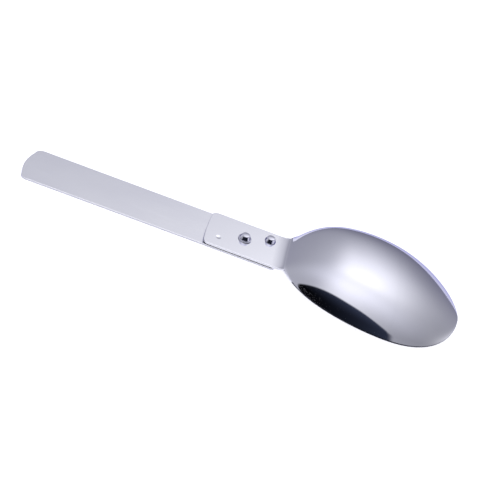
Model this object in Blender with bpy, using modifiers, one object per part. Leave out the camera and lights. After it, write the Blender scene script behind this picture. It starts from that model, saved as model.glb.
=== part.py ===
"""Folding spoon: a stamped bowl and tang, and a flat handle that swings under it on one rivet.

The spoon lies face down, as it is stored: +Z is up, on the outside of the bowl. +X runs from the
pivot to the bowl's tip, and the handle points along -X when it is open. The origin is on the
pivot's axis, at the flat end of the rivet's tail, the lowest face of the spoon.
"""
import math

import bmesh
import bpy
from mathutils import Vector

mm = 0.001

# Sheet metal and the stack at the pivot, from the lowest face up
sheet_thickness = 0.8 * mm
tail_height = 0.6 * mm
seat_gap = 0.1 * mm
plate_gap = 0.3 * mm
washer_thickness = 0.4 * mm
head_height = 1.5 * mm

# Tang, the flat tongue of the bowl's sheet
strip_half_width = 9.6 * mm
tang_reach = 13.5 * mm
tang_corner_radius = 2.2 * mm
tang_end_bulge = 0.3 * mm
neck_start = 12.2 * mm
neck_rise = 0.3 * mm

# Bowl
crease_place = 15.8 * mm
crease_bow = 0.2 * mm
bowl_length = 65.6 * mm
bowl_half_width = 26.4 * mm
bowl_depth = 11.7 * mm
rim_land = 0.8 * mm
heel_inset = 0.5 * mm
widest_share = 0.594
deepest_share = 0.336
heel_flare_slope_share = 1.63
heel_flare_share = 0.868
heel_run_share = 0.182
tip_round_share = 0.217
heel_power_share = 2.7
section_power_share = 7.0
section_straight_share = 0.955
section_middle_share = 0.35
heel_section_round_share = 0.02
middle_section_round_share = 0.215
tip_section_round_share = 0.83
rim_drop_power_share = 8.0
rim_start_share = 0.12

# Handle
handle_reach = 81.9 * mm
handle_inner_reach = 13.5 * mm
handle_corner_radius = 2.6 * mm
handle_end_bulge = 2.2 * mm
inner_end_bulge = 0.3 * mm
edge_round = 0.12 * mm

# Pivot rivet and its washer
shank_radius = 1.3 * mm
running_clearance = 0.1 * mm
pivot_head_radius = 2.05 * mm
tail_radius = 2.1 * mm
tail_chamfer = 0.2 * mm
washer_radius = 2.4 * mm
washer_edge = 0.1 * mm

# Lock stud, and the dimple opposite to it across the pivot
lock_along = 9.0 * mm
lock_across = 4.3 * mm
stud_shank_radius = 1.0 * mm
stud_head_radius = 2.05 * mm
stud_head_height = 1.6 * mm
stud_flare_radius = 1.5 * mm
stud_flare_height = 0.4 * mm
detent_height = 0.15 * mm
detent_radius = 0.75 * mm
detent_draft = 0.15 * mm
detent_root = 0.2 * mm
dimple_radius = 1.0 * mm
dimple_draft = 0.2 * mm
dimple_depth = 0.3 * mm
lock_hole_radius = 1.7 * mm

# Cuts pass this far beyond the faces that they open
overrun = 1.0 * mm
taper_overrun = 0.1 * mm

# Fineness of the meshes
round_steps = 32
dome_steps = 6
corner_steps = 5
tang_steps = 9
neck_steps = 4
heel_steps = 15
tip_steps = 15
across_steps = 24
end_steps = 6
merge_distance = 0.01 * mm
smooth_angle = math.radians(30)

# Levels of the stack
handle_bottom = tail_height + seat_gap
handle_top = handle_bottom + sheet_thickness
tang_bottom = handle_top + plate_gap
tang_top = tang_bottom + sheet_thickness
washer_bottom = tang_top + seat_gap
washer_top = washer_bottom + washer_thickness
pivot_head_base = washer_top + seat_gap
stud_head_base = tang_top + seat_gap
rim_level = tang_bottom + neck_rise

# Finishes: colour, roughness, metallic
polished_steel = ((0.78, 0.78, 0.83), 0.08, 1.0)
satin_steel = ((0.74, 0.74, 0.79), 0.28, 1.0)
rivet_steel = ((0.72, 0.72, 0.76), 0.10, 1.0)


def clear_scene():
    """Removes whatever the file holds, so that the model starts from nothing."""
    for thing in list(bpy.data.objects):
        bpy.data.objects.remove(thing, do_unlink=True)


def new_collection(name):
    """Adds a collection to the scene."""
    collection = bpy.data.collections.new(name)
    bpy.context.scene.collection.children.link(collection)
    return collection


def finish_material(name, finish):
    """A plain Principled material of one colour."""
    colour, roughness, metallic = finish
    material = bpy.data.materials.new(name)
    material.use_nodes = True
    shader = material.node_tree.nodes["Principled BSDF"]
    shader.inputs["Base Color"].default_value = (*colour, 1.0)
    shader.inputs["Roughness"].default_value = roughness
    shader.inputs["Metallic"].default_value = metallic
    return material


def place_piece(name, mesh, collection, finish):
    """Makes the named object of a mesh and shades its round faces smooth."""
    mesh.name = name
    piece = bpy.data.objects.new(name, mesh)
    collection.objects.link(piece)
    mesh.materials.clear()
    mesh.materials.append(finish_material(name, finish))
    mesh.shade_smooth()
    mesh.set_sharp_from_angle(angle=smooth_angle)
    return piece


def smooth_step(value):
    """Rises from 0 to 1 without a kink at either end."""
    value = min(max(value, 0.0), 1.0)
    return value * value * (3 - 2 * value)


def corner_points(reach, half_width, radius, bulge, steps):
    """One rounded end of a strip, from its middle round to its side, as (along, across)."""
    flat = half_width - radius
    points = []
    for step in range(steps):
        across = flat * step / steps
        points.append((reach - bulge * (across / half_width) ** 2, across))
    drop = bulge * (flat / half_width) ** 2
    for step in range(steps + 1):
        angle = math.pi / 2 * step / steps
        points.append((reach - drop - radius * (1 - math.cos(angle)), flat + radius * math.sin(angle)))
    return points


def tang_stations():
    """Stations of the tang: (along, half width)."""
    stations = []
    flat = strip_half_width - tang_corner_radius
    for step in range(corner_steps + 1):
        angle = math.pi / 2 * step / corner_steps
        along = tang_corner_radius * (1 - math.cos(angle)) - tang_reach
        stations.append((along, flat + tang_corner_radius * math.sin(angle)))
    start = tang_corner_radius - tang_reach
    for step in range(1, tang_steps + 1):
        stations.append((start + (neck_start - start) * step / tang_steps, strip_half_width))
    for step in range(1, neck_steps):
        stations.append((neck_start + (crease_place - neck_start) * step / neck_steps, strip_half_width))
    return stations


def curve_point(share, points):
    """A point of a cubic curve with four control points."""
    rest = 1 - share
    weights = (rest ** 3, 3 * rest * rest * share, 3 * rest * share * share, share ** 3)
    return tuple(sum(weight * point[side] for weight, point in zip(weights, points)) for side in (0, 1))


def bowl_stations():
    """Stations of the bowl: (share of its length, half width).

    One curve flares from the neck to the widest place and one closes at the tip. The second one's
    run is set so that both have the same curvature where they meet.
    """
    heel = widest_share * bowl_length
    flare = strip_half_width + heel_flare_share * (bowl_half_width - strip_half_width)
    flare_run = (flare - strip_half_width) / heel_flare_slope_share
    heel_run = heel_run_share * heel
    tip_width = tip_round_share * bowl_half_width
    tip_run = heel_run * math.sqrt((bowl_half_width - tip_width) / (bowl_half_width - flare))
    heel_curve = ((0.0, strip_half_width), (flare_run, flare), (heel - heel_run, bowl_half_width),
                  (heel, bowl_half_width))
    tip_curve = ((heel, bowl_half_width), (heel + tip_run, bowl_half_width), (bowl_length, tip_width),
                 (bowl_length, 0.0))
    places = [curve_point(step / heel_steps, heel_curve) for step in range(heel_steps)]
    for step in range(tip_steps + 1):
        places.append(curve_point(math.sin(math.pi / 2 * step / tip_steps), tip_curve))
    return [(along / bowl_length, across) for along, across in places]


def long_profile(share):
    """Height of the bowl along its middle line, as a share of its depth.

    It is a parabola from the deepest place to the tip. The heel starts with the same curvature and
    ends steeper.
    """
    if share > deepest_share:
        return 1 - ((share - deepest_share) / (1 - deepest_share)) ** 2
    heel_round = (deepest_share / (1 - deepest_share)) ** 2
    rest = (deepest_share - share) / deepest_share
    return 1 - (1 - heel_round) * rest ** heel_power_share - heel_round * rest * rest


def section_round(place):
    """How round the bowl is across at a place along it. It is flattest near the middle."""
    if place < section_middle_share:
        away = 1 - place / section_middle_share
        end = heel_section_round_share
    else:
        away = (place - section_middle_share) / (1 - section_middle_share)
        end = tip_section_round_share
    return middle_section_round_share + (end - middle_section_round_share) * away * away


def cross_profile(share, place):
    """Height across the bowl, as a share of the height of its middle line.

    The flank steepens by a power of the distance from the middle, and runs straight near the rim.
    """
    share = abs(share)
    power = section_power_share
    straight = section_straight_share
    slope = power * straight ** (power - 1)
    at_rim = straight ** power + slope * (1 - straight)
    bent = share ** power if share < straight else straight ** power + slope * (share - straight)
    part = section_round(place)
    return 1 - (1 - part) * bent / at_rim - part * share * share


def neck_lift(along):
    """The gentle upward bend of the neck just before the crease."""
    share = min(max((along - neck_start) / (crease_place - neck_start), 0.0), 1.0)
    return neck_rise * share * share


def tang_point(along, half_width, across_share, outer):
    """A point of the tang's upper or lower skin."""
    to_end = min(max(-along / tang_reach, 0.0), 1.0) ** 4
    to_crease = min(max((along - neck_start) / (crease_place - neck_start), 0.0), 1.0)
    bow = crease_bow * to_crease * across_share ** 2
    bulge = tang_end_bulge * to_end * (across_share ** 2 - 1)
    level = (tang_top if outer else tang_bottom) + neck_lift(along)
    return Vector((along + bow + bulge, half_width * across_share, level))


def bowl_point(share, half_width, across_share, outer):
    """A point of the bowl's outer or inner skin."""
    rim = smooth_step(share / rim_start_share)
    bow = crease_bow * (1 - rim) * across_share ** 2
    rise = (bowl_depth - sheet_thickness) * long_profile(share) * cross_profile(across_share, share)
    if outer:
        drop = sheet_thickness * rim * abs(across_share) ** rim_drop_power_share
        along = crease_place + bowl_length * share + bow
        return Vector((along, half_width * across_share, rim_level + sheet_thickness + rise - drop))
    inner_length = bowl_length - heel_inset - rim_land
    inner_half = max(half_width - rim_land * rim, 0.0)
    along = crease_place + heel_inset + inner_length * share + bow
    return Vector((along, inner_half * across_share, rim_level + rise))


def skin_rows(mesh, outer):
    """Adds the vertices of one skin, a row for each station from the tang's end to the tip."""
    shares = [math.sin(math.pi / 2 * (2 * step / across_steps - 1)) for step in range(across_steps + 1)]
    rows = []
    for along, half_width in tang_stations():
        rows.append([mesh.verts.new(tang_point(along, half_width, share, outer)) for share in shares])
    for place, half_width in bowl_stations():
        rows.append([mesh.verts.new(bowl_point(place, half_width, share, outer)) for share in shares])
    return rows


def build_bowl_and_tang(collection, tools):
    """The bowl, neck and tang: one stamped sheet, lofted as two skins joined round the rim."""
    mesh = bmesh.new()
    outer = skin_rows(mesh, True)
    inner = skin_rows(mesh, False)
    for rows in (outer, inner):
        for one, two in zip(rows, rows[1:]):
            for place in range(across_steps):
                mesh.faces.new((one[place], one[place + 1], two[place + 1], two[place]))
    for one, two, low_one, low_two in zip(outer, outer[1:], inner, inner[1:]):
        for side in (0, across_steps):
            mesh.faces.new((one[side], two[side], low_two[side], low_one[side]))
    for place in range(across_steps):
        mesh.faces.new((outer[0][place], outer[0][place + 1], inner[0][place + 1], inner[0][place]))
    bmesh.ops.remove_doubles(mesh, verts=mesh.verts, dist=merge_distance)
    bmesh.ops.recalc_face_normals(mesh, faces=mesh.faces)
    data = bpy.data.meshes.new("bowl_and_tang")
    mesh.to_mesh(data)
    mesh.free()
    piece = place_piece("bowl_and_tang", data, collection, polished_steel)

    stud_hole_radius = stud_shank_radius + running_clearance
    flare_mouth = stud_flare_radius + running_clearance
    stud_top = tang_bottom + stud_flare_height + running_clearance
    cut(piece, tool_cylinder("tang_pivot_hole", tools, (0, 0), shank_radius + running_clearance,
                             tang_bottom - overrun, tang_top + overrun))
    cut(piece, tool_cylinder("stud_hole", tools, (lock_along, lock_across), stud_hole_radius,
                             tang_bottom - overrun, tang_top + overrun))
    cut(piece, tool_cone("stud_countersink", tools, (lock_along, lock_across), flare_mouth,
                         stud_hole_radius, tang_bottom, stud_top, below=taper_overrun))
    cut(piece, tool_cone("dimple", tools, (-lock_along, -lock_across), dimple_radius - dimple_draft,
                         dimple_radius, tang_top - dimple_depth, tang_top, above=taper_overrun))
    bump = tool_cone("detent_bump", tools, (-lock_along, -lock_across), detent_radius,
                     detent_radius + detent_draft, tang_bottom - detent_height, tang_bottom + detent_root)
    cut(piece, bump, "UNION")
    return piece


def build_handle(collection, tools):
    """The flat handle, cut from strip, with its pivot hole and the two lock holes."""
    outline = []
    far = corner_points(handle_reach, strip_half_width, handle_corner_radius, handle_end_bulge, end_steps)
    near = corner_points(handle_inner_reach, strip_half_width, tang_corner_radius, inner_end_bulge,
                         end_steps)
    outline += [(-along, across) for along, across in far]
    outline += [(along, across) for along, across in reversed(near)]
    outline += [(along, -across) for along, across in near[1:]]
    outline += [(-along, -across) for along, across in reversed(far[1:])]
    curve = bpy.data.curves.new("handle_outline", "CURVE")
    curve.dimensions = "2D"
    curve.fill_mode = "BOTH"
    curve.extrude = sheet_thickness / 2
    spline = curve.splines.new("POLY")
    spline.points.add(len(outline) - 1)
    for point, (along, across) in zip(spline.points, outline):
        point.co = (along, across, 0.0, 1.0)
    spline.use_cyclic_u = True
    flat = bpy.data.objects.new("handle_outline", curve)
    flat.location.z = (handle_bottom + handle_top) / 2
    collection.objects.link(flat)
    piece = mesh_from_curve("handle", flat, collection, satin_steel)
    bevel = piece.modifiers.new("edge_round", "BEVEL")
    bevel.width = edge_round
    bevel.segments = 2
    bevel.limit_method = "ANGLE"
    low = handle_bottom - overrun
    high = handle_top + overrun
    cut(piece, tool_cylinder("handle_pivot_hole", tools, (0, 0), shank_radius + running_clearance, low, high))
    for name, side in (("lock_hole_inner", 1), ("lock_hole_outer", -1)):
        spot = (side * lock_along, side * lock_across)
        cut(piece, tool_cylinder(name, tools, spot, lock_hole_radius, low, high))
    return piece


def mesh_from_curve(name, flat, collection, finish):
    """Turns a filled curve into a closed mesh object of the same place, and removes the curve."""
    graph = bpy.context.evaluated_depsgraph_get()
    data = bpy.data.meshes.new_from_object(flat.evaluated_get(graph))
    place = flat.matrix_world.copy()
    bpy.data.objects.remove(flat)
    mesh = bmesh.new()
    mesh.from_mesh(data)
    bmesh.ops.remove_doubles(mesh, verts=mesh.verts, dist=merge_distance)
    bmesh.ops.recalc_face_normals(mesh, faces=mesh.faces)
    mesh.to_mesh(data)
    mesh.free()
    piece = place_piece(name, data, collection, finish)
    piece.matrix_world = place
    return piece


def turned_piece(name, profile, closed, collection, finish, centre=(0.0, 0.0)):
    """A turned piece: a profile of (radius, height), down its outer side, spun by a Screw."""
    data = bpy.data.meshes.new(name)
    mesh = bmesh.new()
    verts = [mesh.verts.new((radius, 0.0, height)) for radius, height in profile]
    for one, two in zip(verts, verts[1:]):
        mesh.edges.new((one, two))
    if closed:
        mesh.edges.new((verts[-1], verts[0]))
    mesh.to_mesh(data)
    mesh.free()
    piece = place_piece(name, data, collection, finish)
    piece.location = (*centre, 0.0)
    screw = piece.modifiers.new("turned", "SCREW")
    screw.steps = round_steps
    screw.render_steps = round_steps
    screw.use_merge_vertices = True
    screw.merge_threshold = merge_distance
    screw.use_smooth_shade = True
    return piece


def dome_profile(radius, base, height):
    """The domed head of a rivet, from its top out to its edge."""
    points = []
    for step in range(dome_steps + 1):
        angle = math.pi / 2 * step / dome_steps
        points.append((radius * math.sin(angle), base + height * math.cos(angle)))
    return points


def build_pivot_rivet(collection):
    """The pivot: domed head, shank through both plates, and a flat upset tail."""
    profile = dome_profile(pivot_head_radius, pivot_head_base, head_height)
    profile += [(shank_radius, pivot_head_base), (shank_radius, tail_height)]
    profile += [(tail_radius, tail_height), (tail_radius, tail_chamfer), (tail_radius - tail_chamfer, 0.0)]
    profile += [(0.0, 0.0)]
    return turned_piece("pivot_rivet", profile, False, collection, rivet_steel)


def build_pivot_washer(collection):
    """The flat washer under the rivet's head."""
    bore = shank_radius + running_clearance
    profile = [(bore, washer_top), (washer_radius - washer_edge, washer_top)]
    profile += [(washer_radius, washer_top - washer_edge), (washer_radius, washer_bottom)]
    profile += [(bore, washer_bottom)]
    return turned_piece("pivot_washer", profile, True, collection, rivet_steel)


def build_lock_stud(collection):
    """The lock stud: a domed rivet in the tang, whose flared tail snaps into the handle's holes."""
    profile = dome_profile(stud_head_radius, stud_head_base, stud_head_height)
    profile += [(stud_shank_radius, stud_head_base), (stud_shank_radius, tang_bottom + stud_flare_height)]
    profile += [(stud_flare_radius, tang_bottom), (stud_shank_radius, tang_bottom - detent_height)]
    profile += [(0.0, tang_bottom - detent_height)]
    return turned_piece("lock_stud", profile, False, collection, rivet_steel, (lock_along, lock_across))


def keep_tool(tool, name, tools):
    """Names a cutter and moves it to the cutters' collection, where it isn't drawn."""
    tool.name = name
    for owner in list(tool.users_collection):
        owner.objects.unlink(tool)
    tools.objects.link(tool)
    tool.hide_render = True
    tool.display_type = "WIRE"
    return tool


def tool_cylinder(name, tools, spot, radius, low, high):
    """A round cutter between two levels."""
    bpy.ops.mesh.primitive_cylinder_add(vertices=round_steps, radius=radius, depth=high - low,
                                        location=(*spot, (low + high) / 2))
    return keep_tool(bpy.context.object, name, tools)


def tool_cone(name, tools, spot, low_radius, high_radius, low, high, below=0.0, above=0.0):
    """A tapered tool between two levels, which may run on along its taper below and above them."""
    taper = (high_radius - low_radius) / (high - low)
    low_radius -= taper * below
    high_radius += taper * above
    low -= below
    high += above
    bpy.ops.mesh.primitive_cone_add(vertices=round_steps, radius1=low_radius, radius2=high_radius,
                                    depth=high - low, location=(*spot, (low + high) / 2))
    return keep_tool(bpy.context.object, name, tools)


def cut(piece, tool, operation="DIFFERENCE"):
    """Cuts a tool from a piece, or joins it with UNION."""
    modifier = piece.modifiers.new(tool.name, "BOOLEAN")
    modifier.operation = operation
    modifier.solver = "EXACT"
    modifier.object = tool


def build_spoon():
    """Builds the whole spoon."""
    clear_scene()
    spoon = new_collection("folding_spoon")
    tools = new_collection("cutters")
    build_bowl_and_tang(spoon, tools)
    build_handle(spoon, tools)
    build_pivot_rivet(spoon)
    build_pivot_washer(spoon)
    build_lock_stud(spoon)


build_spoon()
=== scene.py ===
"""Folding spoon, dressed for a picture.

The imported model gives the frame. Each of its five pieces is replaced by a finer mesh of the same
form: the stamped bowl and tang, the strip handle, the pivot rivet with its washer, and the lock stud.
All of them are bare stainless steel, polished, satin or cut, under a soft overhead light.

Run as a script it builds everything. It is laid out as an add-on, so that each step is an operator.
"""
import math
from collections import namedtuple

import bmesh
import bpy
from bpy.props import FloatProperty, FloatVectorProperty, PointerProperty
from mathutils import Matrix, Vector


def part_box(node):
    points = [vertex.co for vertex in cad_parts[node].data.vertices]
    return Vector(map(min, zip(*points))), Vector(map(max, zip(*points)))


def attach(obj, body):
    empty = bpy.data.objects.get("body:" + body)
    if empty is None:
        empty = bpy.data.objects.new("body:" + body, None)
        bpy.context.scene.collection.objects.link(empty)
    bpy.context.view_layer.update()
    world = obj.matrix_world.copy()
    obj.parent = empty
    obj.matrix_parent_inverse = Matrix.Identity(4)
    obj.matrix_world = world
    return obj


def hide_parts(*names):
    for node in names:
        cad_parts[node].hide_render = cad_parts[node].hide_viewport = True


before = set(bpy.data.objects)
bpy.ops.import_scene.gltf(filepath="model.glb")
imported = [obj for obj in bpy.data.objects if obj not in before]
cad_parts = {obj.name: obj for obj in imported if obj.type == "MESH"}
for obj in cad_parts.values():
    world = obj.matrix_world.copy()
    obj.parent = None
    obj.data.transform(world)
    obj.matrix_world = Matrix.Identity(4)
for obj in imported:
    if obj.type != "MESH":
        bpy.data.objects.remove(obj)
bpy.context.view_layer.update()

bl_info = {
    "name": "Folding spoon",
    "version": (1, 0, 0),
    "blender": (4, 5, 0),
    "location": "3D View > Sidebar > Spoon",
    "description": "Builds a folding spoon of sheet steel and a small studio round it",
    "category": "Object",
}

mm = 0.001

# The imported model's boxes
sheet_low, sheet_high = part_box("bowl_and_tang")
strip_low, strip_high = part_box("handle")
rivet_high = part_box("pivot_rivet")[1]
washer_low, washer_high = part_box("pivot_washer")
stud_low, stud_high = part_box("lock_stud")
stud_spot = (stud_low + stud_high) / 2

bowl_side = "bowl_side"
handle_side = "handle_side"

# Gap between tang and handle, and how far the neck lifts the bowl's rim above the tang
plate_gap = 0.3 * mm
neck_lift = 0.3 * mm

# Along the bowl, as shares of its length past the crease: where the rim has its own thickness, where
# the crease has died away, how far the bowl's back reaches into the neck, how far the lower skin lags
# behind the upper one, and where the ground rim starts
rim_settled = 0.12
crease_settled = 0.2
neck_reach = 0.06
skin_lag = 0.006
ground_start = 0.06

# How far the rounded upper edge turns, at the tang and at the rim. Below the third angle it is ground
tang_turn = math.radians(90)
rim_turn = math.radians(40)
ground_turn = math.radians(65)

# Width of the ground rim, whose steel is painted near black as a shade line: cells of the upper skin, and
# strips each side of the edge's middle
ground_cells = 3
ground_strips = 2

# A turn in degrees that is left as a sharp edge, on the sheets and on the turned pieces
sheet_sharp = 50
turned_sharp = 40

# Points nearer than this are one
weld = 0.001 * mm


def hex_colour(text):
    """Turns an sRGB hex colour into linear red, green, blue and alpha."""
    channels = []
    for start in (1, 3, 5):
        value = int(text[start:start + 2], 16) / 255
        channels.append(value / 12.92 if value <= 0.04045 else ((value + 0.055) / 1.055) ** 2.4)
    return (*channels, 1.0)


def length(name, description, default):
    """A length that a user may change."""
    return FloatProperty(name=name, description=description, default=default, unit="LENGTH", precision=5)


def share(name, description, default):
    """A plain number that a user may change."""
    return FloatProperty(name=name, description=description, default=default, precision=3)


def colour(name, description, default):
    """A colour that a user may change, given as sRGB hex."""
    return FloatVectorProperty(name=name, description=description, default=hex_colour(default),
                               subtype="COLOR", size=4, min=0.0, max=1.0)


class SpoonSheetSizes(bpy.types.PropertyGroup):
    """Sizes of the stamped sheet, which is the bowl, the neck and the tang."""
    sheet: length("Sheet", "Thickness of the sheet", 0.8 * mm)
    tang_half_width: length("Tang half width", "Half the width of the tang", strip_high.y)
    tang_reach: length("Tang reach", "From the pivot to the tang's end", -sheet_low.x)
    tang_corner: length("Tang corner", "Radius of the tang's corners", 2.2 * mm)
    tang_bulge: length("Tang bulge", "Outward curve of the tang's end", 0.3 * mm)
    tang_bottom: length("Tang bottom", "Level of the tang's underside", strip_high.z + plate_gap)
    neck_start: length("Neck start", "Where the tang begins to bend up", 11.0 * mm)
    neck_rise: length("Neck rise", "How far the neck bends up", neck_lift)
    crease_place: length("Crease", "From the pivot to the crease between neck and bowl", 15.8 * mm)
    crease_bow: length("Crease bow", "How far the crease curves towards the bowl at its ends", 0.2 * mm)
    crease_round: length("Crease round", "Softness of the crease", 0.7 * mm)
    half_width: length("Bowl half width", "Half the width of the bowl", 26.4 * mm)
    depth: length("Bowl depth", "From the rim to the top of the bowl's back",
                  sheet_high.z - (strip_high.z + plate_gap + neck_lift))
    rim_edge: length("Rim edge", "Height of the rim's edge", 0.32 * mm)
    rim_land: length("Rim land", "Width of the flat ground on the rim", 0.5 * mm)
    edge_round: length("Edge round", "Rounding of the tang's edges", 0.16 * mm)
    widest: share("Widest", "Where the bowl is widest, as a share of its length", 0.594)
    deepest: share("Deepest", "Where the bowl is deepest, as a share of its length", 0.336)
    flare_slope: share("Flare slope", "Slope of the outline where the bowl leaves the neck", 1.63)
    flare: share("Flare", "How far the heel's flare aims, from the neck's width to the widest", 0.868)
    heel_run: share("Heel run", "Share of the heel where the outline stays near its widest", 0.182)
    tip_round: share("Tip round", "Bluntness of the tip, as a share of the half width", 0.217)
    heel_power: share("Heel power", "Steepness of the bowl's back at the heel", 2.7)
    section_power: share("Section power", "Steepness of the bowl's flanks", 7.0)
    straight: share("Straight flank", "Share of the half width where the flank turns straight", 0.955)
    section_middle: share("Section middle", "Where it is flattest across, as a share of its length", 0.35)
    heel_round: share("Heel section", "Roundness of the bowl across it at the heel", 0.02)
    middle_round: share("Middle section", "Roundness of the bowl across it where it is flattest", 0.215)
    tip_section: share("Tip section", "Roundness of the bowl across it at the tip", 0.83)
    dimple_along: length("Dimple along", "From the pivot to the dimple, along the spoon", 9.0 * mm)
    dimple_across: length("Dimple across", "From the pivot to the dimple, across the spoon", 4.3 * mm)
    dimple_radius: length("Dimple radius", "Radius of the half-pierced dimple", 1.0 * mm)
    dimple_depth: length("Dimple depth", "Depth of the half-pierced dimple", 0.14 * mm)
    bump_height: length("Bump height", "How far the dimple stands out underneath", 0.15 * mm)
    sink_flare: length("Countersink flare", "How much the stud's hole widens underneath", 0.65 * mm)
    sink_depth: length("Countersink depth", "How deep the stud's hole is countersunk", 0.5 * mm)
    sink_overrun: length("Countersink overrun", "How far its cutter reaches past the sheet", 0.15 * mm)


class SpoonStripSizes(bpy.types.PropertyGroup):
    """Sizes of the strip handle."""
    corner: length("Corner", "Radius of the corners at the handle's end", 2.6 * mm)
    end_bulge: length("End bulge", "Outward curve of the handle's end", 2.2 * mm)
    inner_corner: length("Inner corner", "Radius of the corners under the tang", 2.2 * mm)
    inner_bulge: length("Inner bulge", "Outward curve of the end under the tang", 0.3 * mm)
    edge_round: length("Edge round", "Rounding of the strip's edges", 0.16 * mm)
    pivot_hole: length("Pivot hole", "Radius of the pivot hole", 1.4 * mm)
    lock_hole: length("Lock hole", "Radius of the two lock holes", 1.7 * mm)


class SpoonRivetSizes(bpy.types.PropertyGroup):
    """Sizes of the rivets."""
    shank: length("Shank", "Radius of the pivot's shank", 1.3 * mm)
    stud_shank: length("Stud shank", "Radius of the stud's shank", 1.0 * mm)
    clearance: length("Clearance", "Room round a shank in its hole", 0.1 * mm)
    seat_gap: length("Seat gap", "Gap under each head", 0.1 * mm)
    flange: length("Flange", "Height of the thin flange under a head's dome", 0.05 * mm)
    head: length("Head", "Radius of the pivot rivet's head", 2.05 * mm)
    washer_edge: length("Washer edge", "Rounding of the washer's upper edge", 0.12 * mm)
    flare: length("Stud flare", "Radius of the stud's flared tail", 1.5 * mm)
    flare_start: length("Stud flare start", "Height of the flare above the tang's underside", 0.4 * mm)


class SpoonFinishes(bpy.types.PropertyGroup):
    """Colours and gloss of the steel."""
    polished: colour("Polished steel", "Buffed bowl", "#E4E4E9")
    polished_cloud: colour("Polished steel, clouded", "Where the buffing left a faint cloud", "#E0E0E6")
    # Painted light: the tang's colour is the bowl's steel made lighter, a painted sheen for the brighter
    # light that the tang and neck reflect
    tang: colour("Bright tang", "Neck and tang, which the buffing wheel hardly met", "#FBFBFD")
    satin: colour("Satin steel", "Handle", "#FCFCFD")
    satin_cloud: colour("Satin steel, clouded", "Slightly duller patches of the handle", "#F5F5F8")
    rivet: colour("Rivet steel", "Rivets and washer", "#D4D4DC")
    cut_edge: colour("Cut edge", "Sheared and deburred edges of the tang", "#D6D6DE")
    handle_edge: colour("Handle edge", "Sheared edges of the handle, darker than its faces", "#BEBEC8")
    # Painted shade: the rim's near-black colour paints the thin dark line of shade and dark reflection
    # along the bowl's rim; the ground rim itself is real
    rim_edge: colour("Rim edge", "Ground rim of the bowl, under the buffed flank", "#3A3B44")
    grazing: colour("Grazing tint", "Steel seen along its surface, dimmed by its thin oxide", "#A8A8CC")
    bowl_gloss: share("Bowl roughness", "Roughness of the mirror-polished bowl", 0.06)
    tang_gloss: share("Tang roughness", "Roughness of the tang", 0.15)
    strip_gloss: share("Handle roughness", "Roughness of the satin handle", 0.20)


class SpoonStage(bpy.types.PropertyGroup):
    """The studio: camera, light and floor."""
    azimuth: FloatProperty(name="Azimuth", description="Where the camera stands round the spoon",
                           default=math.radians(-2.84), subtype="ANGLE")
    elevation: FloatProperty(name="Elevation", description="Height of the camera above the horizon",
                             default=math.radians(35.71), subtype="ANGLE")
    roll: FloatProperty(name="Roll", description="Turn of the picture", default=math.radians(21.93),
                        subtype="ANGLE")
    distance: length("Distance", "From the camera to the pivot", 0.350)
    picture_scale: share("Picture scale", "Pixels for each millimetre at the pivot", 2.81)
    pivot_column: share("Pivot column", "Picture column of the pivot", 242.51)
    pivot_row: share("Pivot row", "Picture row of the pivot", 244.55)
    floor: colour("Floor", "White paper", "#E2E2E6")
    curtain: colour("Curtain", "Top of the dark curtain on the near side", "#394055")
    curtain_foot: colour("Curtain foot", "Foot of the dark curtain", "#050507")
    walls: colour("Walls", "Tint of the studio's walls", "#F0F1FF")
    soft_light: colour("Soft light", "Colour of the overhead light", "#FCFCFF")


def set_inputs(node, inputs):
    """Sets a node's inputs. Each is a value, or a socket or a node to link from. A node stands for its
    first output in use."""
    for name, value in inputs.items():
        if isinstance(value, bpy.types.Node):
            value = next(socket for socket in value.outputs if socket.enabled)
        if isinstance(value, bpy.types.NodeSocket):
            node.id_data.links.new(value, node.inputs[name])
        else:
            node.inputs[name].default_value = value


def add_node(tree, kind, inputs=None, **settings):
    """Adds a node with its settings, values and links. Its kind is written without ShaderNode."""
    node = tree.nodes.new("ShaderNode" + kind)
    for name, value in settings.items():
        setattr(node, name, value)
    set_inputs(node, inputs or {})
    return node


def steel_material(name):
    """A metal's Principled shader in an otherwise empty node tree, with its object coordinates."""
    material = bpy.data.materials.new(name)
    material.use_nodes = True
    tree = material.node_tree
    tree.nodes.clear()
    tint = bpy.context.scene.spoon_finishes.grazing
    shader = add_node(tree, "BsdfPrincipled", {"Metallic": 1.0, "Specular Tint": tint})
    add_node(tree, "OutputMaterial", {"Surface": shader})
    return material, tree, shader, add_node(tree, "TexCoord").outputs["Object"]


def patches(tree, place, size, detail=2.0, stretch=(1.0, 1.0, 1.0)):
    """Soft noise whose patches have a real size, longer along an axis by its stretch."""
    scale = tuple(1.0 / (size * part) for part in stretch)
    mapping = add_node(tree, "Mapping", {"Scale": scale, "Vector": place})
    return add_node(tree, "TexNoise", {"Scale": 1.0, "Detail": detail, "Vector": mapping})


# The middle part of a noise, which is spread over the whole range of what it drives
noise_range = {"From Min": 0.3, "From Max": 0.7}


def clouded(tree, cloud, clear, dull):
    """A steel's colour, which turns to a duller one in faint clouds."""
    amount = add_node(tree, "MapRange", {"Value": cloud, **noise_range})
    return add_node(tree, "Mix", {"Factor": amount, "A": clear, "B": dull}, data_type="RGBA")


def finish_steel(shader, colour, relief, gloss, strength, depth):
    """Gives a steel its colour, and a roughness and a fine relief that follow one pattern."""
    tree = shader.id_data
    rough = add_node(tree, "MapRange", {"Value": relief, **noise_range,
                                        "To Min": gloss[0], "To Max": gloss[1]})
    bump = add_node(tree, "Bump", {"Height": relief, "Strength": strength, "Distance": depth})
    set_inputs(shader, {"Base Color": colour, "Roughness": rough, "Normal": bump})


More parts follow.
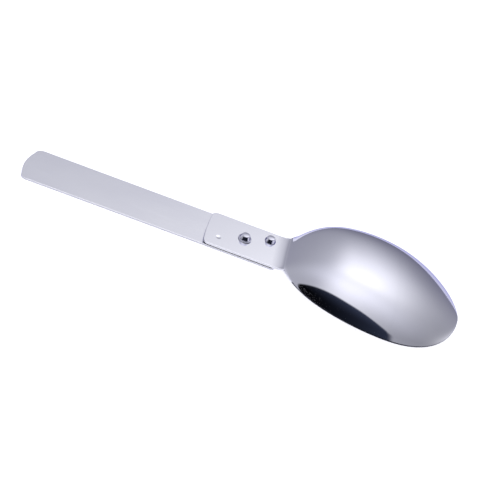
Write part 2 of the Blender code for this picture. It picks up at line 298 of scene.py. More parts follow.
def polished_stainless(finish, sheet):
    """Stainless sheet, pressed and then buffed to a mirror: sharp reflections that bend with the form, a
    trace of waviness left by the press, faint clouds, and a less glossy tang that the wheel hardly met.
    The tang and neck are also painted lighter than the bowl, a painted sheen that stands for the brighter
    light they reflect."""
    material, tree, shader, place = steel_material("polished_stainless_steel")
    bowl = clouded(tree, patches(tree, place, 14 * mm), finish.polished, finish.polished_cloud)
    along = add_node(tree, "SeparateXYZ", {"Vector": place})
    buffed = add_node(tree, "MapRange", {"Value": along, "From Min": sheet.neck_start,
                                         "From Max": sheet.crease_place}, interpolation_type="SMOOTHSTEP")
    # Painted sheen: the tang and neck take the lighter tang colour, which fades into the bowl's colour
    # over the neck
    tint = add_node(tree, "Mix", {"Factor": buffed, "A": finish.tang, "B": bowl}, data_type="RGBA")
    dulled = add_node(tree, "MapRange", {"Value": buffed, "To Min": finish.tang_gloss,
                                         "To Max": finish.bowl_gloss})
    wipes = patches(tree, place, 3 * mm, 4.0, (4.0, 1.0, 1.0))
    haze = add_node(tree, "MapRange", {"Value": wipes, **noise_range, "To Min": 0.96, "To Max": 1.05})
    gloss = add_node(tree, "Math", {0: dulled, 1: haze}, operation="MULTIPLY")

    # The press leaves waves of about 9 mm, some thousandths of a millimetre deep
    wave = add_node(tree, "Bump", {"Height": patches(tree, place, 9 * mm, 1.0), "Strength": 0.6,
                                   "Distance": 0.008 * mm})
    set_inputs(shader, {"Base Color": tint, "Roughness": gloss, "Normal": wave})
    return material


def satin_stainless(finish):
    """Stainless strip, belt-ground along its length: soft reflections, and fine lines from end to end.
    The real lines are about 0.05 mm apart, drawn at 0.3 mm so that they show."""
    material, tree, shader, place = steel_material("satin_stainless_steel")
    cloud = patches(tree, place, 16 * mm, 3.0, (2.5, 1.0, 1.0))
    tint = clouded(tree, cloud, finish.satin, finish.satin_cloud)
    lines = patches(tree, place, 0.3 * mm, 3.0, (60.0, 1.0, 1.0))
    gloss = (0.9 * finish.strip_gloss, 1.1 * finish.strip_gloss)
    finish_steel(shader, tint, lines, gloss, 0.3, 0.002 * mm)
    return material


def cut_stainless(name, edge):
    """The edge of stainless sheet, sheared and deburred on the tang and handle and ground on the bowl's
    rim: rougher than the faces, in a tone of its own, with fine upright drag lines. On the bowl's rim the
    tone is near black, a painted line of shade and dark reflection. The real lines are about 0.05 mm
    apart, drawn at 0.4 mm so that they show."""
    material, tree, shader, place = steel_material(name)
    drag = patches(tree, place, 0.4 * mm, 2.0, (1.0, 1.0, 8.0))
    finish_steel(shader, edge, drag, (0.28, 0.45), 0.4, 0.01 * mm)
    return material


def headed_stainless(finish):
    """Rivet steel, cold-headed and tumbled bright: a small mirror with a few soft dents."""
    material, tree, shader, place = steel_material("headed_rivet_steel")
    dents = patches(tree, place, 0.9 * mm)
    finish_steel(shader, finish.rivet, dents, (0.07, 0.14), 0.5, 0.02 * mm)
    return material


def smooth_step(value):
    """Rises from 0 to 1 without a kink at either end."""
    value = min(max(value, 0.0), 1.0)
    return value * value * (3 - 2 * value)


# A row of points across the sheet: where its ends lie, how it curves, and its place
Row = namedtuple("Row", "along half sag place")


def sheet_rows(sizes):
    """The rows of the stamped sheet from the tang's end to the bowl's tip. A row's place is its
    distance from the crease, as a share of the bowl's length, and is negative on the tang."""
    bowl_length = sheet_high.x - sizes.crease_place
    rows = []
    flat = sizes.tang_half_width - sizes.tang_corner
    corner_steps = 10
    for step in range(corner_steps + 1):
        angle = math.pi / 2 * step / corner_steps
        along = -sizes.tang_reach + sizes.tang_corner * (1 - math.cos(angle))
        rows.append((along, flat + sizes.tang_corner * math.sin(angle)))
    fine = 0.14 * mm
    past_dimple = 1.6 * sizes.dimple_radius
    middle = -sizes.dimple_along + past_dimple
    along = rows[-1][0]
    while along < middle:
        along += fine
        rows.append((along, sizes.tang_half_width))
    flat_steps = 24
    start = along
    for step in range(1, flat_steps + 1):
        rows.append((start + (sizes.neck_start - start) * step / flat_steps, sizes.tang_half_width))
    neck_steps = 26
    for step in range(1, neck_steps):
        part = math.sin(math.pi / 2 * step / neck_steps)
        rows.append((sizes.neck_start + (sizes.crease_place - sizes.neck_start) * part,
                     sizes.tang_half_width))
    made = []
    for along, half in rows:
        to_end = min(max(-along / sizes.tang_reach, 0.0), 1.0) ** 4
        to_crease = smooth_step((along - sizes.neck_start) / (sizes.crease_place - sizes.neck_start))
        bow = sizes.crease_bow * to_crease
        made.append(Row(along + bow, half, bow + sizes.tang_bulge * to_end,
                        (along - sizes.crease_place) / bowl_length))
    for place, half in bowl_outline(sizes, bowl_length):
        bow = sizes.crease_bow * (1 - smooth_step(place / rim_settled))
        made.append(Row(sizes.crease_place + bowl_length * place + bow, half, bow, place))
    return made


def curve_point(part, points):
    """A point of a cubic curve with four control points."""
    rest = 1 - part
    weights = (rest ** 3, 3 * rest * rest * part, 3 * rest * part * part, part ** 3)
    return tuple(sum(weight * point[side] for weight, point in zip(weights, points)) for side in (0, 1))


def bowl_outline(sizes, bowl_length):
    """The bowl's outline: (share of its length, half width), from the crease to the tip. One curve
    flares to the widest place and one closes at the tip, with the same curvature where they meet."""
    neck, widest = sizes.tang_half_width, sizes.half_width
    heel = sizes.widest * bowl_length
    flare = neck + sizes.flare * (widest - neck)
    run = sizes.heel_run * heel
    blunt = sizes.tip_round * widest
    tip_run = run * math.sqrt((widest - blunt) / (widest - flare))
    heel_curve = ((0.0, neck), ((flare - neck) / sizes.flare_slope, flare), (heel - run, widest),
                  (heel, widest))
    tip_curve = ((heel, widest), (heel + tip_run, widest), (bowl_length, blunt), (bowl_length, 0.0))
    heel_steps, tip_steps, crowding = 70, 60, 1.3
    points = [curve_point((step / heel_steps) ** crowding, heel_curve) for step in range(heel_steps)]
    points += [curve_point(math.sin(math.pi / 2 * step / tip_steps), tip_curve)
               for step in range(tip_steps + 1)]
    return [(along / bowl_length, across) for along, across in points]


def back_profile(sizes, place):
    """Height of the bowl's back along its middle line, as a share of its depth."""
    deepest = sizes.deepest
    if place > deepest:
        return 1 - ((place - deepest) / (1 - deepest)) ** 2
    heel_round = (deepest / (1 - deepest)) ** 2
    part = (deepest - place) / deepest
    return 1 - (1 - heel_round) * part ** sizes.heel_power - heel_round * part * part


def section_round(sizes, place):
    """How round the bowl is across at a place along it. It is flattest near the middle."""
    if place < sizes.section_middle:
        away, end = 1 - max(place, 0.0) / sizes.section_middle, sizes.heel_round
    else:
        away, end = (place - sizes.section_middle) / (1 - sizes.section_middle), sizes.tip_section
    return sizes.middle_round + (end - sizes.middle_round) * away * away


def flank_profile(sizes, part, place):
    """Height across the bowl, as a share of the height of its middle line. The flank runs straight
    near the rim."""
    part, power, straight = abs(part), sizes.section_power, sizes.straight
    slope = power * straight ** (power - 1)
    at_rim = straight ** power + slope * (1 - straight)
    bent = part ** power if part < straight else straight ** power + slope * (part - straight)
    round_share = section_round(sizes, place)
    return 1 - (1 - round_share) * bent / at_rim - round_share * part * part


def soft_rise(height, softness):
    """A height that is cut off below zero with a soft bend."""
    return (height + math.sqrt(height * height + softness * softness)) / 2


def sheet_levels(sizes, row, part):
    """Levels of the sheet's upper and lower skin at a point of a row."""
    rim = smooth_step(row.place / rim_settled)
    edge = sizes.sheet + (sizes.rim_edge - sizes.sheet) * rim
    softness = sizes.crease_round * (1 - smooth_step(row.place / crease_settled))
    bowl_length = sheet_high.x - sizes.crease_place
    along = sizes.crease_place + bowl_length * row.place
    lift = min(max((along - sizes.neck_start) / (sizes.crease_place - sizes.neck_start), 0.0), 1.0)
    base = sizes.tang_bottom + sizes.neck_rise * lift * lift
    near = min(max((row.place + neck_reach) / neck_reach, 0.0), 1.0) ** 2
    flank = flank_profile(sizes, part, row.place)
    rise = back_profile(sizes, max(row.place, -neck_reach)) * flank
    upper = base + edge + near * soft_rise((sizes.depth - edge) * rise, softness * near)
    inner_rise = back_profile(sizes, max(row.place - skin_lag, -neck_reach)) * flank
    lower = base + near * soft_rise((sizes.depth - sizes.sheet) * inner_rise, softness * near)
    return upper, lower


def dimple_drop(sizes, along, across, depth):
    """How far the half-pierced dimple lowers the sheet at a point. Its middle is flat."""
    flat = 0.35
    away = math.hypot(along + sizes.dimple_along, across + sizes.dimple_across) / sizes.dimple_radius
    return depth * (1 - smooth_step((away - flat) / (1 - flat)))


def build_sheet(sizes):
    """The stamped sheet: two skins over the rows, joined by a rounded edge all round."""
    rows = sheet_rows(sizes)
    across_steps = 96
    radius = sizes.edge_round
    parts = [math.sin(math.pi / 2 * (2 * step / across_steps - 1)) for step in range(across_steps + 1)]

    # The outline runs across the tang's end, then up one side to the tip and down the other
    ends = [Vector((row.along, row.half)) for row in rows]
    spots = [(0, column) for column in range(across_steps + 1)]
    spots += [(place, across_steps) for place in range(1, len(rows))]
    spots += [(place, 0) for place in range(len(rows) - 2, 0, -1)]
    line = []
    for place, column in spots:
        part = parts[column]
        line.append(Vector((rows[place].along + rows[place].sag * (part * part - 1),
                            rows[place].half * part)))
    normals = []
    for index in range(len(line)):
        tangent = line[(index + 1) % len(line)] - line[index - 1]
        normals.append(Vector((-tangent.y, tangent.x)).normalized())
    outward = dict(zip(spots, normals))
    for column in range(across_steps + 1):
        outward[(0, column)] = Vector((-1.0, 0.0))

    mesh = bmesh.new()
    upper, lower, levels = [], [], {}
    for place, row in enumerate(rows):
        normal = outward[(place, across_steps)]
        rim = smooth_step(row.place / rim_settled)
        start = tang_turn + (rim_turn - tang_turn) * rim
        upper_row, lower_row = [], []
        inset = radius * (1 - math.cos(start))
        land = radius + (sizes.rim_land - radius) * rim
        top_end = ends[place] - normal * inset
        low_end = ends[place] - normal * land
        for column, part in enumerate(parts):
            high, low = sheet_levels(sizes, row, part)
            sag = row.sag * (part * part - 1)
            for end, level, made, depth in ((top_end, high, upper_row, sizes.dimple_depth),
                                            (low_end, low, lower_row, sizes.bump_height)):
                along = end.x + sag
                across = max(end.y, 0.0) * part
                drop = dimple_drop(sizes, along, across, depth)
                made.append(mesh.verts.new((along, across, level - drop)))
            if column in (0, across_steps) or place == 0:
                levels[(place, column)] = (high, low, start, land)
        upper.append(upper_row)
        lower.append(lower_row)

    # The edge: a rounded corner above, an upright face, and a rounded corner below
    arc_steps = 4
    strips, thin = [], []
    for spot, point in zip(spots, line):
        high, low, start, land = levels[spot]
        normal = outward[spot]
        strip = [upper[spot[0]][spot[1]]]
        centre = point - normal * radius
        top = high - radius * math.sin(start)
        for step in range(1, arc_steps + 1):
            angle = start * (1 - step / arc_steps)
            place = centre + normal * radius * math.cos(angle)
            strip.append(mesh.verts.new((*place, top + radius * math.sin(angle))))
        bottom = low + radius
        for step in range(0, arc_steps + 1):
            angle = math.pi / 2 * step / arc_steps
            place = centre + normal * radius * math.cos(angle)
            strip.append(mesh.verts.new((*place, bottom - radius * math.sin(angle))))
        strip.append(lower[spot[0]][spot[1]])
        strips.append(strip)
        thin.append(start < ground_turn)

    # Faces, with the steel of each: buffed, cut at the tang's edge, or ground at the bowl's rim. The
    # rim's edge and the upper skin's last cells beside it get near-black steel, a painted shade line
    # along the rim
    cut, ground = 1, 2
    inner_cells = range(ground_cells, across_steps - ground_cells)
    for skin in (upper, lower):
        for row, one, two in zip(rows, skin, skin[1:]):
            for column in range(across_steps):
                face = mesh.faces.new((one[column], one[column + 1], two[column + 1], two[column]))
                if skin is upper and row.place > ground_start and column not in inner_cells:
                    face.material_index = ground
    for one, two, at_rim in zip(strips, strips[1:] + strips[:1], thin):
        for step in range(len(one) - 1):
            face = mesh.faces.new((one[step], two[step], two[step + 1], one[step + 1]))
            if abs(step - arc_steps) <= (ground_strips if at_rim else 0):
                face.material_index = ground if at_rim else cut
    bmesh.ops.remove_doubles(mesh, verts=mesh.verts, dist=weld)
    bmesh.ops.recalc_face_normals(mesh, faces=mesh.faces)
    data = bpy.data.meshes.new("bowl_and_tang_sheet")
    mesh.to_mesh(data)
    mesh.free()
    return data


def place_piece(name, data, materials, body, node):
    """Makes a piece of a mesh, gives it its steel, and sets it in the place of its CAD node."""
    piece = bpy.data.objects.new(name, data)
    bpy.context.scene.collection.objects.link(piece)
    for material in materials:
        data.materials.append(material)
    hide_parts(node)
    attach(piece, body)
    return piece


def drill(data, holes):
    """Cuts round holes through a mesh and returns the result. A hole is (along, across, radius at its
    low end, radius at its high end, low, high)."""
    piece = bpy.data.objects.new("drilled", data)
    bpy.context.scene.collection.objects.link(piece)
    cutters = []
    for along, across, low_radius, high_radius, low, high in holes:
        bpy.ops.mesh.primitive_cone_add(vertices=64, radius1=low_radius, radius2=high_radius,
                                        depth=high - low, location=(along, across, (low + high) / 2))
        cutter = bpy.context.object
        cutters.append(cutter)
        modifier = piece.modifiers.new("hole", "BOOLEAN")
        modifier.solver = "EXACT"
        modifier.operation = "DIFFERENCE"
        modifier.object = cutter
    graph = bpy.context.evaluated_depsgraph_get()
    made = bpy.data.meshes.new_from_object(piece.evaluated_get(graph))
    for thing in cutters + [piece]:
        bpy.data.objects.remove(thing, do_unlink=True)
    return made


def smooth_faces(data, limit):
    """Shades a mesh smooth, apart from edges that turn by more than the limit."""
    data.shade_smooth()
    data.set_sharp_from_angle(angle=math.radians(limit))


class SPOON_OT_add_sheet(bpy.types.Operator):
    """Adds the bowl and tang, one stamped and polished sheet"""
    bl_idname = "spoon.add_sheet"
    bl_label = "Add bowl and tang"

    def execute(self, context):
        sizes = context.scene.spoon_sheet
        rivets = context.scene.spoon_rivets
        finish = context.scene.spoon_finishes
        past = 1 * mm
        bottom = sizes.tang_bottom
        top = bottom + sizes.sheet
        shank = rivets.shank + rivets.clearance
        stud = rivets.stud_shank + rivets.clearance
        data = drill(build_sheet(sizes), (
            (0.0, 0.0, shank, shank, bottom - past, top + past),
            (stud_spot.x, stud_spot.y, stud, stud, bottom - past, top + past),
            (stud_spot.x, stud_spot.y, stud + sizes.sink_flare, stud, bottom - sizes.sink_overrun,
             bottom + sizes.sink_depth)))
        data.name = "bowl_and_tang_sheet"
        smooth_faces(data, sheet_sharp)
        # The ground rim's near-black steel is a painted shade line
        steels = (polished_stainless(finish, sizes), cut_stainless("cut_tang_edge", finish.cut_edge),
                  cut_stainless("ground_bowl_rim_painted_shade", finish.rim_edge))
        place_piece("bowl_and_tang_sheet", data, steels, bowl_side, "bowl_and_tang")
        return {"FINISHED"}


def strip_end(reach, half_width, radius, bulge, steps):
    """One rounded end of a strip, from its middle round to its side, as (along, across)."""
    flat = half_width - radius
    points = []
    for step in range(steps):
        across = flat * step / steps
        points.append((reach - bulge * (across / half_width) ** 2, across))
    drop = bulge * (flat / half_width) ** 2
    for step in range(steps + 1):
        angle = math.pi / 2 * step / steps
        points.append((reach - drop - radius * (1 - math.cos(angle)), flat + radius * math.sin(angle)))
    return points


def add_loop(curve, points):
    """Adds a closed outline to a curve."""
    spline = curve.splines.new("POLY")
    spline.points.add(len(points) - 1)
    for point, (along, across) in zip(spline.points, points):
        point.co = (along, across, 0.0, 1.0)
    spline.use_cyclic_u = True


def build_strip(sizes):
    """The handle: a flat strip with rounded edges, its pivot hole and its two lock holes."""
    half = strip_high.y
    steps, hole_steps = 14, 48
    far = strip_end(-strip_low.x, half, sizes.corner, sizes.end_bulge, steps)
    near = strip_end(strip_high.x, half, sizes.inner_corner, sizes.inner_bulge, steps)
    outline = [(-along, across) for along, across in far]
    outline += reversed(near)
    outline += [(along, -across) for along, across in near[1:]]
    outline += [(-along, -across) for along, across in reversed(far[1:])]
    curve = bpy.data.curves.new("handle_outline", "CURVE")
    curve.dimensions = "2D"
    curve.fill_mode = "BOTH"
    curve.extrude = (strip_high.z - strip_low.z) / 2 - sizes.edge_round
    curve.bevel_depth = sizes.edge_round
    curve.bevel_resolution = 2
    curve.offset = -sizes.edge_round
    add_loop(curve, outline)
    for along, across, radius in ((0.0, 0.0, sizes.pivot_hole),
                                  (stud_spot.x, stud_spot.y, sizes.lock_hole),
                                  (-stud_spot.x, -stud_spot.y, sizes.lock_hole)):
        turn = [2 * math.pi * step / hole_steps for step in range(hole_steps)]
        add_loop(curve, [(along + radius * math.cos(angle), across + radius * math.sin(angle))
                         for angle in turn])
    flat = bpy.data.objects.new("handle_outline", curve)
    bpy.context.scene.collection.objects.link(flat)
    graph = bpy.context.evaluated_depsgraph_get()
    data = bpy.data.meshes.new_from_object(flat.evaluated_get(graph))
    bpy.data.objects.remove(flat, do_unlink=True)
    mesh = bmesh.new()
    mesh.from_mesh(data)
    bmesh.ops.translate(mesh, verts=mesh.verts, vec=(0, 0, (strip_low.z + strip_high.z) / 2))
    bmesh.ops.remove_doubles(mesh, verts=mesh.verts, dist=weld)
    bmesh.ops.recalc_face_normals(mesh, faces=mesh.faces)

    # A face whose normal hardly rises is part of the cut edge
    upright = 0.2
    for face in mesh.faces:
        face.material_index = 1 if abs(face.normal.z) < upright else 0
    mesh.to_mesh(data)
    mesh.free()
    data.name = "handle_strip"
    return data


class SPOON_OT_add_handle(bpy.types.Operator):
    """Adds the flat strip handle"""
    bl_idname = "spoon.add_handle"
    bl_label = "Add handle"

    def execute(self, context):
        finish = context.scene.spoon_finishes
        data = build_strip(context.scene.spoon_strip)
        smooth_faces(data, sheet_sharp)
        steels = (satin_stainless(finish), cut_stainless("cut_handle_edge", finish.handle_edge))
        piece = place_piece("handle_strip", data, steels, handle_side, "handle")
        weighted = piece.modifiers.new("flat_faces", "WEIGHTED_NORMAL")
        weighted.weight = 100
        weighted.keep_sharp = True
        return {"FINISHED"}


def turned(name, profile, closed, spot):
    """A turned mesh: a profile of (radius, level), down its outer side, spun about an upright axis."""
    steps = 72
    mesh = bmesh.new()
    rings = []
    for radius, level in profile:
        rings.append([mesh.verts.new((spot.x + radius * math.cos(2 * math.pi * step / steps),
                                      spot.y + radius * math.sin(2 * math.pi * step / steps), level))
                      for step in range(steps)])
    pairs = list(zip(rings, rings[1:]))
    if closed:
        pairs.append((rings[-1], rings[0]))
    for one, two in pairs:
        for step in range(steps):
            after = (step + 1) % steps
            mesh.faces.new((one[step], two[step], two[after], one[after]))
    bmesh.ops.remove_doubles(mesh, verts=mesh.verts, dist=weld)
    bmesh.ops.dissolve_degenerate(mesh, edges=mesh.edges, dist=weld / 2)
    bmesh.ops.recalc_face_normals(mesh, faces=mesh.faces)
    data = bpy.data.meshes.new(name)
    mesh.to_mesh(data)
    mesh.free()
    return data


# A rivet's head: radius of its dome as a share of the whole head's, slope of its crown and of its
# flank, and as shares of the dome's radius, where its crown ends and how wide the bend after it is
dome_share = 0.985
crown_slope = math.radians(8)
flank_slope = math.radians(64)
crown_end = 0.60
bend_width = 0.14


def head_profile(radius, base, top, flange):
    """A rivet's domed head on a thin flange, from its top out and down to its edge: a low crown, a
    short bend and a steep flank, all scaled to the head's height."""
    steps, lip_steps = 28, 6
    dome = radius * dome_share
    fall, points = 0.0, [(0.0, 0.0)]
    for step in range(steps):
        place = (step + 0.5) / steps
        bend = smooth_step((place - crown_end) / bend_width)
        slope = crown_slope * min(place / crown_end, 1.0) + (flank_slope - crown_slope) * bend
        fall += dome / steps * math.tan(slope)
        points.append((dome * (step + 1) / steps, fall))
    points = [(along, top - drop * (top - base - flange) / fall) for along, drop in points]
    lip = flange / 2
    for step in range(lip_steps + 1):
        angle = math.pi / 2 - math.pi * step / lip_steps
        points.append((radius - lip + lip * math.cos(angle), base + lip + lip * math.sin(angle)))
    return points


class SPOON_OT_add_rivets(bpy.types.Operator):
    """Adds the pivot rivet, its washer and the lock stud"""
    bl_idname = "spoon.add_rivets"
    bl_label = "Add rivets"

    def execute(self, context):
        sizes = context.scene.spoon_rivets
        sheet = context.scene.spoon_sheet
        steel = headed_stainless(context.scene.spoon_finishes)
        axis = Vector()
        head_base = washer_high.z + sizes.seat_gap
        tail_height = strip_low.z - sizes.seat_gap
        profile = head_profile(sizes.head, head_base, rivet_high.z, sizes.flange)
        profile += [(sizes.shank, head_base), (sizes.shank, tail_height)]

        # The upset tail has a small upper chamfer and a rounder lower edge: inset and level of each turn
        tail = ((0.05 * mm, tail_height), (0.0, tail_height - 0.08 * mm), (0.0, 0.2 * mm),
                (0.06 * mm, 0.08 * mm), (0.2 * mm, 0.0))
        profile += [(rivet_high.x - inset, level) for inset, level in tail] + [(0.0, 0.0)]
        data = turned("pivot_rivet_headed", profile, False, axis)
        smooth_faces(data, turned_sharp)
        place_piece("pivot_rivet_headed", data, (steel,), bowl_side, "pivot_rivet")

        edge, edge_steps = sizes.washer_edge, 4
        bore = sizes.shank + sizes.clearance
        reach = washer_high.x
        profile = [(bore, washer_high.z), (reach - edge, washer_high.z)]
        for step in range(1, edge_steps + 1):
            angle = math.pi / 2 * step / edge_steps
            profile.append((reach - edge + edge * math.sin(angle),
                            washer_high.z - edge + edge * math.cos(angle)))
        profile += [(reach, washer_low.z), (bore, washer_low.z)]
        data = turned("pivot_washer_ring", profile, True, axis)
        smooth_faces(data, turned_sharp)
        place_piece("pivot_washer_ring", data, (steel,), bowl_side, "pivot_washer")

        head_base = sheet.tang_bottom + sheet.sheet + sizes.seat_gap
        profile = head_profile(stud_high.x - stud_spot.x, head_base, stud_high.z, sizes.flange)
        profile += [(sizes.stud_shank, head_base),
                    (sizes.stud_shank, sheet.tang_bottom + sizes.flare_start),
                    (sizes.flare, sheet.tang_bottom), (sizes.stud_shank, stud_low.z), (0.0, stud_low.z)]
        data = turned("lock_stud_headed", profile, False, stud_spot)
        smooth_faces(data, turned_sharp)
        place_piece("lock_stud_headed", data, (steel,), bowl_side, "lock_stud")
        return {"FINISHED"}


# Walls: brightness at the horizon, its change with height, and its change from side to side
wall_level, wall_slope, wall_curve, wall_side = 0.410, -0.078, 0.542, -0.165

# Long soft lights: azimuth from +X towards +Y, elevation, strength, sharpness along two axes, turn
soft_lights = (
    (math.radians(21.7), math.radians(1.7), 0.84, 5.30, 12.92, math.radians(-23.2)),
    (math.radians(68.8), math.radians(40.1), 0.57, 6.85, 20.33, math.radians(-120.6)),
    (math.radians(-105.6), math.radians(55.2), 0.52, 7.04, 0.01, math.radians(-6.4)),
)

# Curtain: azimuth of its middle, its top, how fast its top edge falls on the left, how high its straight
# right edge starts and how steeply it falls, its softness, and how late it brightens towards its top
curtain_middle = math.radians(-90)
curtain_top = math.radians(32)
curtain_arch = 0.40
curtain_shoulder, curtain_slant = math.radians(33), 0.303
curtain_softness = math.radians(2.5)
curtain_shade = 1.6

# A soft light fades out round its sides, between minus and plus this cosine from its middle
light_fade = 0.35


def soft_box(tree, way, light):
    """A long soft light: brightest at its middle, and wider along one axis than along the other."""
    azimuth, elevation, strength, across, along, turn = light
    middle = Vector((math.cos(azimuth) * math.cos(elevation), math.sin(azimuth) * math.cos(elevation),
                     math.sin(elevation)))
    level = Vector((-math.sin(azimuth), math.cos(azimuth), 0.0))
    upright = middle.cross(level)
    falls = []
    for sharpness, axis in ((across, level * math.cos(turn) + upright * math.sin(turn)),
                            (along, upright * math.cos(turn) - level * math.sin(turn))):
        reach = add_node(tree, "VectorMath", {0: way, 1: axis}, operation="DOT_PRODUCT")
        square = add_node(tree, "Math", {0: reach, 1: reach}, operation="MULTIPLY")
        falls.append(add_node(tree, "Math", {0: square, 1: -sharpness}, operation="MULTIPLY"))
    total = add_node(tree, "Math", dict(enumerate(falls)), operation="ADD")
    bell = add_node(tree, "Math", {0: total}, operation="EXPONENT")
    glow = add_node(tree, "Math", {0: bell, 1: strength}, operation="MULTIPLY")
    facing = add_node(tree, "VectorMath", {0: way, 1: middle}, operation="DOT_PRODUCT")
    front = add_node(tree, "MapRange", {"Value": facing, "From Min": -light_fade, "From Max": light_fade},
                     interpolation_type="SMOOTHSTEP")
    return add_node(tree, "Math", {0: glow, 1: front}, operation="MULTIPLY")


def studio_world(stage):
    """A plain studio: lavender walls, long soft lights overhead, and a dark curtain on the near side."""
    world = bpy.data.worlds.new("studio")
    bpy.context.scene.world = world
    world.use_nodes = True
    tree = world.node_tree
    tree.nodes.clear()
    place = add_node(tree, "TexCoord").outputs["Generated"]
    way = add_node(tree, "VectorMath", {0: place}, operation="NORMALIZE")

    # How far each direction faces up, to the right, into the curtain's middle and beside it
    up, right, ahead, beside = (
        add_node(tree, "VectorMath", {0: way, 1: axis}, operation="DOT_PRODUCT")
        for axis in ((0.0, 0.0, 1.0), (1.0, 0.0, 0.0),
                     (math.cos(curtain_middle), math.sin(curtain_middle), 0.0),
                     (-math.sin(curtain_middle), math.cos(curtain_middle), 0.0)))
    height = add_node(tree, "Math", {0: up, 1: 0.0}, operation="MAXIMUM")
    level = wall_curve
    for base, by in ((wall_slope, height), (wall_level, height)):
        level = add_node(tree, "Math", {0: by, 1: level, 2: base}, operation="MULTIPLY_ADD")
    level = add_node(tree, "Math", {0: right, 1: wall_side, 2: level}, operation="MULTIPLY_ADD")
    lights = soft_box(tree, way, soft_lights[0])
    for light in soft_lights[1:]:
        lights = add_node(tree, "Math", {0: lights, 1: soft_box(tree, way, light)}, operation="ADD")

    # The curtain's top edge is an arch on the left and slopes straight down on the right. It is black
    # at its foot and blue-grey at the top
    turn = add_node(tree, "Math", {0: beside, 1: ahead}, operation="ARCTAN2")
    rise = add_node(tree, "Math", {0: up}, operation="ARCSINE")
    left = add_node(tree, "Math", {0: turn, 1: 0.0}, operation="MINIMUM")
    bend = add_node(tree, "Math", {0: left, 1: left}, operation="MULTIPLY")
    edges = []
    for along, fall, start in ((bend, curtain_arch, curtain_top),
                               (turn, curtain_slant, curtain_shoulder)):
        top = add_node(tree, "Math", {0: along, 1: -fall, 2: start}, operation="MULTIPLY_ADD")
        inside = add_node(tree, "Math", {0: top, 1: rise}, operation="SUBTRACT")
        edges.append(add_node(tree, "MapRange", {"Value": inside, "From Min": -curtain_softness,
                              "From Max": curtain_softness}, interpolation_type="SMOOTHSTEP"))
    cover = add_node(tree, "Math", dict(enumerate(edges)), operation="MULTIPLY")
    fold = add_node(tree, "MapRange", {"Value": rise, "From Max": curtain_top})
    shade = add_node(tree, "Math", {0: fold, 1: curtain_shade}, operation="POWER")
    cloth = add_node(tree, "Mix", {"Factor": shade, "A": stage.curtain_foot, "B": stage.curtain},
                     data_type="RGBA")

    walls = add_node(tree, "Background", {"Color": stage.walls, "Strength": level})
    soft = add_node(tree, "Background", {"Color": stage.soft_light, "Strength": lights})
    open_side = add_node(tree, "AddShader", {0: walls, 1: soft})
    curtain = add_node(tree, "Background", {"Color": cloth})
    both = add_node(tree, "MixShader", {0: cover, 1: open_side, 2: curtain})
    add_node(tree, "OutputWorld", {"Surface": both})


# How much the floor is lifted to white, and half its width in metres
floor_lift = 0.68
floor_half = 4.0


def floor_material(stage):
    """White paper, matt. Seen by the camera and in the steel it is lifted to plain white, and it keeps
    the spoon's soft shadow."""
    material = bpy.data.materials.new("white_paper_floor")
    material.use_nodes = True
    tree = material.node_tree
    tree.nodes.clear()
    place = add_node(tree, "TexCoord").outputs["Object"]
    fibre = add_node(tree, "Bump", {"Height": patches(tree, place, 1.5 * mm, 3.0), "Strength": 0.1,
                                    "Distance": 0.02 * mm})
    paper = add_node(tree, "BsdfDiffuse", {"Color": stage.floor, "Normal": fibre})
    rays = add_node(tree, "LightPath").outputs
    seen = rays["Is Camera Ray"]
    for kind in ("Is Glossy Ray", "Is Transmission Ray"):
        seen = add_node(tree, "Math", {0: seen, 1: rays[kind]}, operation="MAXIMUM")
    lift = add_node(tree, "Math", {0: seen, 1: floor_lift}, operation="MULTIPLY")
    glow = add_node(tree, "Emission", {"Strength": lift})
    both = add_node(tree, "AddShader", {0: paper, 1: glow})
    add_node(tree, "OutputMaterial", {"Surface": both})
    return material


def stage_card(name, corners, material):
    """A flat card of the stage."""
    mesh = bmesh.new()
    mesh.faces.new([mesh.verts.new(corner) for corner in corners])
    data = bpy.data.meshes.new(name)
    mesh.to_mesh(data)
    mesh.free()
    data.materials.append(material)
    card = bpy.data.objects.new(name, data)
    bpy.context.scene.collection.objects.link(card)


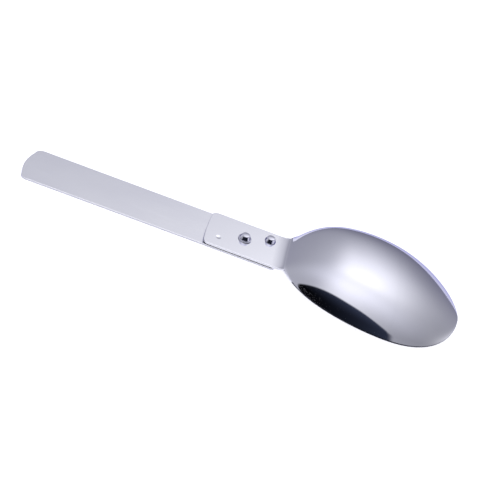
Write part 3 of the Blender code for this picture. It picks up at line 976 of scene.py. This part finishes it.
class SPOON_OT_set_stage(bpy.types.Operator):
    """Sets the floor, the studio's light and the camera"""
    bl_idname = "spoon.set_stage"
    bl_label = "Set stage"

    def execute(self, context):
        scene = context.scene
        stage = scene.spoon_stage
        scene.view_settings.view_transform = "Standard"
        studio_world(stage)
        corners = [(x * floor_half, y * floor_half, 0) for x, y in ((-1, -1), (1, -1), (1, 1), (-1, 1))]
        stage_card("floor", corners, floor_material(stage))

        azimuth, elevation, roll = stage.azimuth, stage.elevation, stage.roll
        right = Vector((math.cos(azimuth), math.sin(azimuth), 0.0))
        back = Vector((math.sin(azimuth) * math.cos(elevation), -math.cos(azimuth) * math.cos(elevation),
                       math.sin(elevation)))
        up = back.cross(right)
        turned_right = right * math.cos(roll) + up * math.sin(roll)
        turned_up = up * math.cos(roll) - right * math.sin(roll)
        picture = 500
        lens = bpy.data.cameras.new("camera")
        lens.sensor_width = 36.0
        lens.lens = lens.sensor_width * stage.picture_scale * stage.distance / mm / picture
        lens.shift_x = 0.5 - stage.pivot_column / picture
        lens.shift_y = stage.pivot_row / picture - 0.5
        lens.clip_start = 0.01
        camera = bpy.data.objects.new("camera", lens)
        scene.collection.objects.link(camera)
        turn = Matrix((turned_right, turned_up, back)).transposed().to_4x4()
        camera.matrix_world = Matrix.Translation(back * stage.distance) @ turn
        scene.camera = camera
        return {"FINISHED"}


class SPOON_PT_steps(bpy.types.Panel):
    """Lists the spoon's steps in the sidebar"""
    bl_idname = "SPOON_PT_steps"
    bl_label = "Folding spoon"
    bl_space_type = "VIEW_3D"
    bl_region_type = "UI"
    bl_category = "Spoon"

    def draw(self, context):
        for operator in operators:
            self.layout.operator(operator.bl_idname)
        for group in groups:
            box = self.layout.box()
            box.label(text=group)
            settings = getattr(context.scene, group)
            for name in settings.__annotations__:
                box.prop(settings, name)


groups = {"spoon_sheet": SpoonSheetSizes, "spoon_strip": SpoonStripSizes, "spoon_rivets": SpoonRivetSizes,
          "spoon_finishes": SpoonFinishes, "spoon_stage": SpoonStage}
operators = (SPOON_OT_add_sheet, SPOON_OT_add_handle, SPOON_OT_add_rivets, SPOON_OT_set_stage)


def register():
    """Registers the settings, the operators and the panel."""
    for name, group in groups.items():
        bpy.utils.register_class(group)
        setattr(bpy.types.Scene, name, PointerProperty(type=group))
    for operator in operators:
        bpy.utils.register_class(operator)
    bpy.utils.register_class(SPOON_PT_steps)


def unregister():
    """Takes them away again."""
    bpy.utils.unregister_class(SPOON_PT_steps)
    for operator in reversed(operators):
        bpy.utils.unregister_class(operator)
    for name, group in groups.items():
        delattr(bpy.types.Scene, name)
        bpy.utils.unregister_class(group)


def main():
    """Builds the spoon and its stage."""
    register()
    bpy.ops.spoon.add_sheet()
    bpy.ops.spoon.add_handle()
    bpy.ops.spoon.add_rivets()
    bpy.ops.spoon.set_stage()


if __name__ == "__main__":
    main()
